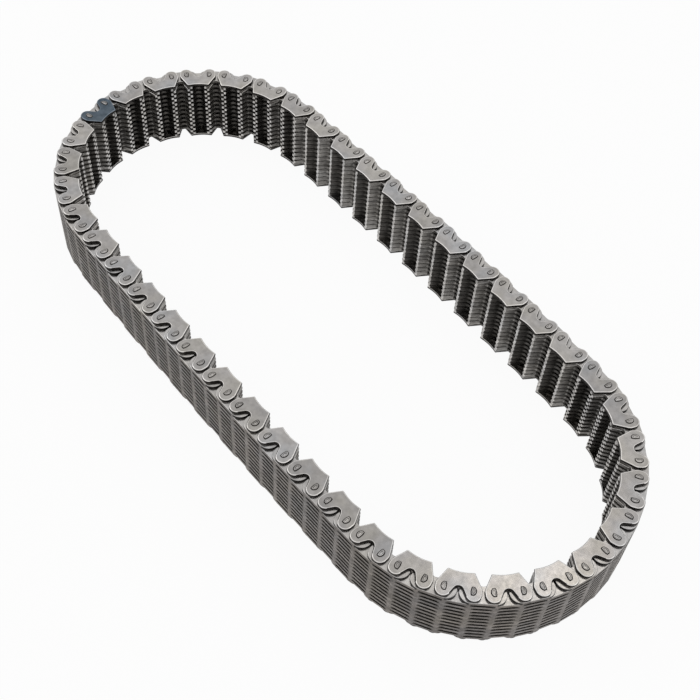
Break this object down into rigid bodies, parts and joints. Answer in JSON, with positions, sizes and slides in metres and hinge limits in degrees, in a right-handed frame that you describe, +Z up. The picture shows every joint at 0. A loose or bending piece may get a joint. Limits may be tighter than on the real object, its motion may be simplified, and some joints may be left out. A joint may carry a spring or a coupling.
{
  "type": "silent chain",
  "caption": "Endless inverted tooth chain of stacked link plates on rocker pins, with guide plates on both faces, for driving toothed sprockets inside its loop.",
  "frame": {"origin": "on the floor under the middle of the loop", "axes": "+X along the loop's long way to the end opposite the dark marker link, +Y across the loop, +Z up along the pins"},
  "size_m": [0.391, 0.1652, 0.0421],
  "materials": {
    "link_steel": "satin tumbled steel with bright worn edges",
    "tooth_steel": "dark oiled steel with bright toe tips",
    "marker_steel": "dark blued steel"
  },
  "bodies": {
    "guide_row_link_01": {"guide_row_link_01": "link_steel"},
    "middle_row_link_01": {"middle_row_link_01": "tooth_steel"},
    "guide_row_link_02": {"guide_row_link_02": "link_steel"},
    "middle_row_link_02": {"middle_row_link_02": "tooth_steel"},
    "guide_row_link_03": {"guide_row_link_03": "link_steel"},
    "middle_row_link_03": {"middle_row_link_03": "tooth_steel"},
    "guide_row_link_04": {"guide_row_link_04": "link_steel"},
    "middle_row_link_04": {"middle_row_link_04": "tooth_steel"},
    "strand_link_pair_05": {"strand_link_pair_05": "link_steel"},
    "strand_link_pair_06": {"strand_link_pair_06": "link_steel"},
    "strand_link_pair_07": {"strand_link_pair_07": "link_steel"},
    "strand_link_pair_08": {"strand_link_pair_08": "link_steel"},
    "strand_link_pair_09": {"strand_link_pair_09": "link_steel"},
    "strand_link_pair_10": {"strand_link_pair_10": "link_steel"},
    "strand_link_pair_11": {"strand_link_pair_11": "link_steel"},
    "strand_link_pair_12": {"strand_link_pair_12": "link_steel"},
    "strand_link_pair_13": {"strand_link_pair_13": "link_steel"},
    "strand_link_pair_14": {"strand_link_pair_14": "link_steel"},
    "strand_link_pair_15": {"strand_link_pair_15": "link_steel"},
    "strand_link_pair_16": {"strand_link_pair_16": "link_steel"},
    "strand_link_pair_17": {"strand_link_pair_17": "link_steel"},
    "guide_row_link_18": {"guide_row_link_18": "link_steel"},
    "middle_row_link_18": {"middle_row_link_18": "tooth_steel"},
    "guide_row_link_19": {"guide_row_link_19": "link_steel"},
    "middle_row_link_19": {"middle_row_link_19": "tooth_steel"},
    "guide_row_link_20": {"guide_row_link_20": "link_steel"},
    "middle_row_link_20": {"middle_row_link_20": "tooth_steel"},
    "guide_row_link_21": {"guide_row_link_21": "link_steel"},
    "middle_row_link_21": {"middle_row_link_21": "tooth_steel"},
    "guide_row_link_22": {"guide_row_link_22": "link_steel"},
    "middle_row_link_22": {"middle_row_link_22": "tooth_steel"},
    "guide_row_link_23": {"guide_row_link_23": "link_steel"},
    "middle_row_link_23": {"middle_row_link_23": "tooth_steel"},
    "guide_row_link_24": {"guide_row_link_24": "link_steel"},
    "middle_row_link_24": {"middle_row_link_24": "tooth_steel"},
    "guide_row_link_25": {"guide_row_link_25": "link_steel"},
    "middle_row_link_25": {"middle_row_link_25": "tooth_steel"},
    "strand_link_pair_26": {"strand_link_pair_26": "link_steel"},
    "strand_link_pair_27": {"strand_link_pair_27": "link_steel"},
    "strand_link_pair_28": {"strand_link_pair_28": "link_steel"},
    "strand_link_pair_29": {"strand_link_pair_29": "link_steel"},
    "strand_link_pair_30": {"strand_link_pair_30": "link_steel"},
    "strand_link_pair_31": {"strand_link_pair_31": "link_steel"},
    "strand_link_pair_32": {"strand_link_pair_32": "link_steel"},
    "strand_link_pair_33": {"strand_link_pair_33": "link_steel"},
    "strand_link_pair_34": {"strand_link_pair_34": "link_steel"},
    "strand_link_pair_35": {"strand_link_pair_35": "link_steel"},
    "strand_link_pair_36": {"strand_link_pair_36": "link_steel"},
    "strand_link_pair_37": {"strand_link_pair_37": "link_steel"},
    "strand_link_pair_38": {"strand_link_pair_38": "link_steel"},
    "guide_row_link_39": {"guide_row_link_39": "link_steel"},
    "middle_row_link_39": {"middle_row_link_39": "tooth_steel"},
    "guide_row_link_40": {"guide_row_link_40": "link_steel"},
    "middle_row_link_40": {"middle_row_link_40": "tooth_steel"},
    "guide_row_link_41": {"guide_row_link_41": "link_steel"},
    "middle_row_link_41": {"middle_row_link_41": "tooth_steel"},
    "guide_row_link_42": {"guide_row_link_42": "link_steel", "marker_guide_plate": "marker_steel"},
    "middle_row_link_42": {"middle_row_link_42": "tooth_steel"}
  },
  "joints": [
    {"name": "joint_22", "type": "hinge", "parent": "strand_link_pair_11", "child": "strand_link_pair_12", "pos_m": [0.00556, 0.07745, 0.02107], "axis": [0, 0, -1], "range_deg": [-2, 8]},
    {"name": "joint_24", "type": "hinge", "parent": "strand_link_pair_12", "child": "strand_link_pair_13", "pos_m": [0.02778, 0.07733, 0.02107], "axis": [0, 0, -1], "range_deg": [-2, 8]},
    {"name": "joint_26", "type": "hinge", "parent": "strand_link_pair_13", "child": "strand_link_pair_14", "pos_m": [0.05, 0.07708, 0.02107], "axis": [0, 0, -1], "range_deg": [-2, 8]},
    {"name": "joint_28", "type": "hinge", "parent": "strand_link_pair_14", "child": "strand_link_pair_15", "pos_m": [0.07223, 0.07667, 0.02107], "axis": [0, 0, -1], "range_deg": [-2, 8]},
    {"name": "joint_30", "type": "hinge", "parent": "strand_link_pair_15", "child": "strand_link_pair_16", "pos_m": [0.09444, 0.07611, 0.02107], "axis": [0, 0, -1], "range_deg": [-2, 8]},
    {"name": "joint_32", "type": "hinge", "parent": "strand_link_pair_16", "child": "strand_link_pair_17", "pos_m": [0.11666, 0.07535, 0.02107], "axis": [0, 0, -1], "range_deg": [-2, 8]},
    {"name": "joint_34", "type": "hinge", "parent": "strand_link_pair_17", "child": "guide_row_link_18", "pos_m": [0.1385, 0.07151, 0.02107], "axis": [0, 0, -1], "range_deg": [-2, 8]},
    {"name": "joint_35", "type": "hinge", "parent": "guide_row_link_18", "child": "middle_row_link_18", "pos_m": [0.14879, 0.06732, 0.02107], "axis": [0, 0, -1], "range_deg": [-6.5, 1.62]},
    {"name": "joint_36", "type": "hinge", "parent": "middle_row_link_18", "child": "guide_row_link_19", "pos_m": [0.15835, 0.06165, 0.02107], "axis": [0, 0, -1], "range_deg": [-6.5, 1.62]},
    {"name": "joint_37", "type": "hinge", "parent": "guide_row_link_19", "child": "middle_row_link_19", "pos_m": [0.16697, 0.05464, 0.02107], "axis": [0, 0, -1], "range_deg": [-6.5, 1.62]},
    {"name": "joint_38", "type": "hinge", "parent": "middle_row_link_19", "child": "guide_row_link_20", "pos_m": [0.17446, 0.04643, 0.02107], "axis": [0, 0, -1], "range_deg": [-6.5, 1.62]},
    {"name": "joint_39", "type": "hinge", "parent": "guide_row_link_20", "child": "middle_row_link_20", "pos_m": [0.18067, 0.03721, 0.02107], "axis": [0, 0, -1], "range_deg": [-6.5, 1.62]},
    {"name": "joint_40", "type": "hinge", "parent": "middle_row_link_20", "child": "guide_row_link_21", "pos_m": [0.18544, 0.02718, 0.02107], "axis": [0, 0, -1], "range_deg": [-6.5, 1.62]},
    {"name": "joint_41", "type": "hinge", "parent": "guide_row_link_21", "child": "middle_row_link_21", "pos_m": [0.18868, 0.01655, 0.02107], "axis": [0, 0, -1], "range_deg": [-6.5, 1.62]},
    {"name": "joint_42", "type": "hinge", "parent": "middle_row_link_21", "child": "guide_row_link_22", "pos_m": [0.19032, 0.00556, 0.02107], "axis": [0, 0, -1], "range_deg": [-6.5, 1.62]},
    {"name": "joint_43", "type": "hinge", "parent": "guide_row_link_22", "child": "middle_row_link_22", "pos_m": [0.19032, -0.00556, 0.02107], "axis": [0, 0, -1], "range_deg": [-6.5, 1.62]},
    {"name": "joint_44", "type": "hinge", "parent": "middle_row_link_22", "child": "guide_row_link_23", "pos_m": [0.18868, -0.01655, 0.02107], "axis": [0, 0, -1], "range_deg": [-6.5, 1.62]},
    {"name": "joint_45", "type": "hinge", "parent": "guide_row_link_23", "child": "middle_row_link_23", "pos_m": [0.18544, -0.02718, 0.02107], "axis": [0, 0, -1], "range_deg": [-6.5, 1.62]},
    {"name": "joint_46", "type": "hinge", "parent": "middle_row_link_23", "child": "guide_row_link_24", "pos_m": [0.18067, -0.03721, 0.02107], "axis": [0, 0, -1], "range_deg": [-6.5, 1.62]},
    {"name": "joint_47", "type": "hinge", "parent": "guide_row_link_24", "child": "middle_row_link_24", "pos_m": [0.17446, -0.04643, 0.02107], "axis": [0, 0, -1], "range_deg": [-6.5, 1.62]},
    {"name": "joint_48", "type": "hinge", "parent": "middle_row_link_24", "child": "guide_row_link_25", "pos_m": [0.16697, -0.05464, 0.02107], "axis": [0, 0, -1], "range_deg": [-6.5, 1.62]},
    {"name": "joint_49", "type": "hinge", "parent": "guide_row_link_25", "child": "middle_row_link_25", "pos_m": [0.15835, -0.06165, 0.02107], "axis": [0, 0, -1], "range_deg": [-6.5, 1.62]},
    {"name": "joint_50", "type": "hinge", "parent": "middle_row_link_25", "child": "strand_link_pair_26", "pos_m": [0.14879, -0.06732, 0.02107], "axis": [0, 0, -1], "range_deg": [-6.5, 1.62]},
    {"name": "joint_52", "type": "hinge", "parent": "strand_link_pair_26", "child": "strand_link_pair_27", "pos_m": [0.1277, -0.07414, 0.02107], "axis": [0, 0, -1], "range_deg": [-2, 8]},
    {"name": "joint_54", "type": "hinge", "parent": "strand_link_pair_27", "child": "strand_link_pair_28", "pos_m": [0.10555, -0.07578, 0.02107], "axis": [0, 0, -1], "range_deg": [-2, 8]},
    {"name": "joint_56", "type": "hinge", "parent": "strand_link_pair_28", "child": "strand_link_pair_29", "pos_m": [0.08334, -0.07641, 0.02107], "axis": [0, 0, -1], "range_deg": [-2, 8]},
    {"name": "joint_58", "type": "hinge", "parent": "strand_link_pair_29", "child": "strand_link_pair_30", "pos_m": [0.06112, -0.07689, 0.02107], "axis": [0, 0, -1], "range_deg": [-2, 8]},
    {"name": "joint_60", "type": "hinge", "parent": "strand_link_pair_30", "child": "strand_link_pair_31", "pos_m": [0.03889, -0.07722, 0.02107], "axis": [0, 0, -1], "range_deg": [-2, 8]},
    {"name": "joint_62", "type": "hinge", "parent": "strand_link_pair_31", "child": "strand_link_pair_32", "pos_m": [0.01667, -0.07741, 0.02107], "axis": [0, 0, -1], "range_deg": [-2, 8]},
    {"name": "joint_20", "type": "hinge", "parent": "strand_link_pair_11", "child": "strand_link_pair_10", "pos_m": [-0.01667, 0.07741, 0.02107], "axis": [0, 0, 1], "range_deg": [-2, 8]},
    {"name": "joint_18", "type": "hinge", "parent": "strand_link_pair_10", "child": "strand_link_pair_09", "pos_m": [-0.03889, 0.07722, 0.02107], "axis": [0, 0, 1], "range_deg": [-2, 8]},
    {"name": "joint_16", "type": "hinge", "parent": "strand_link_pair_09", "child": "strand_link_pair_08", "pos_m": [-0.06112, 0.07689, 0.02107], "axis": [0, 0, 1], "range_deg": [-2, 8]},
    {"name": "joint_14", "type": "hinge", "parent": "strand_link_pair_08", "child": "strand_link_pair_07", "pos_m": [-0.08334, 0.07641, 0.02107], "axis": [0, 0, 1], "range_deg": [-2, 8]},
    {"name": "joint_12", "type": "hinge", "parent": "strand_link_pair_07", "child": "strand_link_pair_06", "pos_m": [-0.10555, 0.07578, 0.02107], "axis": [0, 0, 1], "range_deg": [-2, 8]},
    {"name": "joint_10", "type": "hinge", "parent": "strand_link_pair_06", "child": "strand_link_pair_05", "pos_m": [-0.1277, 0.07414, 0.02107], "axis": [0, 0, 1], "range_deg": [-2, 8]},
    {"name": "joint_08", "type": "hinge", "parent": "strand_link_pair_05", "child": "middle_row_link_04", "pos_m": [-0.14879, 0.06732, 0.02107], "axis": [0, 0, 1], "range_deg": [-6.5, 1.62]},
    {"name": "joint_07", "type": "hinge", "parent": "middle_row_link_04", "child": "guide_row_link_04", "pos_m": [-0.15835, 0.06165, 0.02107], "axis": [0, 0, 1], "range_deg": [-6.5, 1.62]},
    {"name": "joint_06", "type": "hinge", "parent": "guide_row_link_04", "child": "middle_row_link_03", "pos_m": [-0.16697, 0.05464, 0.02107], "axis": [0, 0, 1], "range_deg": [-6.5, 1.62]},
    {"name": "joint_05", "type": "hinge", "parent": "middle_row_link_03", "child": "guide_row_link_03", "pos_m": [-0.17446, 0.04643, 0.02107], "axis": [0, 0, 1], "range_deg": [-6.5, 1.62]},
    {"name": "joint_04", "type": "hinge", "parent": "guide_row_link_03", "child": "middle_row_link_02", "pos_m": [-0.18067, 0.03721, 0.02107], "axis": [0, 0, 1], "range_deg": [-6.5, 1.62]},
    {"name": "joint_03", "type": "hinge", "parent": "middle_row_link_02", "child": "guide_row_link_02", "pos_m": [-0.18544, 0.02718, 0.02107], "axis": [0, 0, 1], "range_deg": [-6.5, 1.62]},
    {"name": "joint_02", "type": "hinge", "parent": "guide_row_link_02", "child": "middle_row_link_01", "pos_m": [-0.18868, 0.01655, 0.02107], "axis": [0, 0, 1], "range_deg": [-6.5, 1.62]},
    {"name": "joint_01", "type": "hinge", "parent": "middle_row_link_01", "child": "guide_row_link_01", "pos_m": [-0.19032, 0.00556, 0.02107], "axis": [0, 0, 1], "range_deg": [-6.5, 1.62]},
    {"name": "joint_84", "type": "hinge", "parent": "guide_row_link_01", "child": "middle_row_link_42", "pos_m": [-0.19032, -0.00556, 0.02107], "axis": [0, 0, 1], "range_deg": [-6.5, 1.62]},
    {"name": "joint_83", "type": "hinge", "parent": "middle_row_link_42", "child": "guide_row_link_42", "pos_m": [-0.18868, -0.01655, 0.02107], "axis": [0, 0, 1], "range_deg": [-6.5, 1.62]},
    {"name": "joint_82", "type": "hinge", "parent": "guide_row_link_42", "child": "middle_row_link_41", "pos_m": [-0.18544, -0.02718, 0.02107], "axis": [0, 0, 1], "range_deg": [-6.5, 1.62]},
    {"name": "joint_81", "type": "hinge", "parent": "middle_row_link_41", "child": "guide_row_link_41", "pos_m": [-0.18067, -0.03721, 0.02107], "axis": [0, 0, 1], "range_deg": [-6.5, 1.62]},
    {"name": "joint_80", "type": "hinge", "parent": "guide_row_link_41", "child": "middle_row_link_40", "pos_m": [-0.17446, -0.04643, 0.02107], "axis": [0, 0, 1], "range_deg": [-6.5, 1.62]},
    {"name": "joint_79", "type": "hinge", "parent": "middle_row_link_40", "child": "guide_row_link_40", "pos_m": [-0.16697, -0.05464, 0.02107], "axis": [0, 0, 1], "range_deg": [-6.5, 1.62]},
    {"name": "joint_78", "type": "hinge", "parent": "guide_row_link_40", "child": "middle_row_link_39", "pos_m": [-0.15835, -0.06165, 0.02107], "axis": [0, 0, 1], "range_deg": [-6.5, 1.62]},
    {"name": "joint_77", "type": "hinge", "parent": "middle_row_link_39", "child": "guide_row_link_39", "pos_m": [-0.14879, -0.06732, 0.02107], "axis": [0, 0, 1], "range_deg": [-6.5, 1.62]},
    {"name": "joint_76", "type": "hinge", "parent": "guide_row_link_39", "child": "strand_link_pair_38", "pos_m": [-0.1385, -0.07151, 0.02107], "axis": [0, 0, 1], "range_deg": [-2, 8]},
    {"name": "joint_74", "type": "hinge", "parent": "strand_link_pair_38", "child": "strand_link_pair_37", "pos_m": [-0.11666, -0.07535, 0.02107], "axis": [0, 0, 1], "range_deg": [-2, 8]},
    {"name": "joint_72", "type": "hinge", "parent": "strand_link_pair_37", "child": "strand_link_pair_36", "pos_m": [-0.09444, -0.07611, 0.02107], "axis": [0, 0, 1], "range_deg": [-2, 8]},
    {"name": "joint_70", "type": "hinge", "parent": "strand_link_pair_36", "child": "strand_link_pair_35", "pos_m": [-0.07223, -0.07667, 0.02107], "axis": [0, 0, 1], "range_deg": [-2, 8]},
    {"name": "joint_68", "type": "hinge", "parent": "strand_link_pair_35", "child": "strand_link_pair_34", "pos_m": [-0.05, -0.07708, 0.02107], "axis": [0, 0, 1], "range_deg": [-2, 8]},
    {"name": "joint_66", "type": "hinge", "parent": "strand_link_pair_34", "child": "strand_link_pair_33", "pos_m": [-0.02778, -0.07733, 0.02107], "axis": [0, 0, 1], "range_deg": [-2, 8]}
  ],
  "couplings": [
    {"joint": "joint_24", "follows": "joint_22", "ratio": 1},
    {"joint": "joint_26", "follows": "joint_22", "ratio": 1},
    {"joint": "joint_28", "follows": "joint_22", "ratio": 1},
    {"joint": "joint_30", "follows": "joint_22", "ratio": 1},
    {"joint": "joint_32", "follows": "joint_22", "ratio": 1},
    {"joint": "joint_34", "follows": "joint_22", "ratio": 1},
    {"joint": "joint_35", "follows": "joint_22", "ratio": -0.8125},
    {"joint": "joint_36", "follows": "joint_22", "ratio": -0.8125},
    {"joint": "joint_37", "follows": "joint_22", "ratio": -0.8125},
    {"joint": "joint_38", "follows": "joint_22", "ratio": -0.8125},
    {"joint": "joint_39", "follows": "joint_22", "ratio": -0.8125},
    {"joint": "joint_40", "follows": "joint_22", "ratio": -0.8125},
    {"joint": "joint_41", "follows": "joint_22", "ratio": -0.8125},
    {"joint": "joint_42", "follows": "joint_22", "ratio": -0.8125},
    {"joint": "joint_43", "follows": "joint_22", "ratio": -0.8125},
    {"joint": "joint_44", "follows": "joint_22", "ratio": -0.8125},
    {"joint": "joint_45", "follows": "joint_22", "ratio": -0.8125},
    {"joint": "joint_46", "follows": "joint_22", "ratio": -0.8125},
    {"joint": "joint_47", "follows": "joint_22", "ratio": -0.8125},
    {"joint": "joint_48", "follows": "joint_22", "ratio": -0.8125},
    {"joint": "joint_49", "follows": "joint_22", "ratio": -0.8125},
    {"joint": "joint_50", "follows": "joint_22", "ratio": -0.8125},
    {"joint": "joint_52", "follows": "joint_22", "ratio": 1},
    {"joint": "joint_54", "follows": "joint_22", "ratio": 1},
    {"joint": "joint_56", "follows": "joint_22", "ratio": 1},
    {"joint": "joint_58", "follows": "joint_22", "ratio": 1},
    {"joint": "joint_60", "follows": "joint_22", "ratio": 1},
    {"joint": "joint_62", "follows": "joint_22", "ratio": 1},
    {"joint": "joint_20", "follows": "joint_22", "ratio": 1},
    {"joint": "joint_18", "follows": "joint_22", "ratio": 1},
    {"joint": "joint_16", "follows": "joint_22", "ratio": 1},
    {"joint": "joint_14", "follows": "joint_22", "ratio": 1},
    {"joint": "joint_12", "follows": "joint_22", "ratio": 1},
    {"joint": "joint_10", "follows": "joint_22", "ratio": 1},
    {"joint": "joint_08", "follows": "joint_22", "ratio": -0.8125},
    {"joint": "joint_07", "follows": "joint_22", "ratio": -0.8125},
    {"joint": "joint_06", "follows": "joint_22", "ratio": -0.8125},
    {"joint": "joint_05", "follows": "joint_22", "ratio": -0.8125},
    {"joint": "joint_04", "follows": "joint_22", "ratio": -0.8125},
    {"joint": "joint_03", "follows": "joint_22", "ratio": -0.8125},
    {"joint": "joint_02", "follows": "joint_22", "ratio": -0.8125},
    {"joint": "joint_01", "follows": "joint_22", "ratio": -0.8125},
    {"joint": "joint_84", "follows": "joint_22", "ratio": -0.8125},
    {"joint": "joint_83", "follows": "joint_22", "ratio": -0.8125},
    {"joint": "joint_82", "follows": "joint_22", "ratio": -0.8125},
    {"joint": "joint_81", "follows": "joint_22", "ratio": -0.8125},
    {"joint": "joint_80", "follows": "joint_22", "ratio": -0.8125},
    {"joint": "joint_79", "follows": "joint_22", "ratio": -0.8125},
    {"joint": "joint_78", "follows": "joint_22", "ratio": -0.8125},
    {"joint": "joint_77", "follows": "joint_22", "ratio": -0.8125},
    {"joint": "joint_76", "follows": "joint_22", "ratio": 1},
    {"joint": "joint_74", "follows": "joint_22", "ratio": 1},
    {"joint": "joint_72", "follows": "joint_22", "ratio": 1},
    {"joint": "joint_70", "follows": "joint_22", "ratio": 1},
    {"joint": "joint_68", "follows": "joint_22", "ratio": 1},
    {"joint": "joint_66", "follows": "joint_22", "ratio": 1}
  ]
}
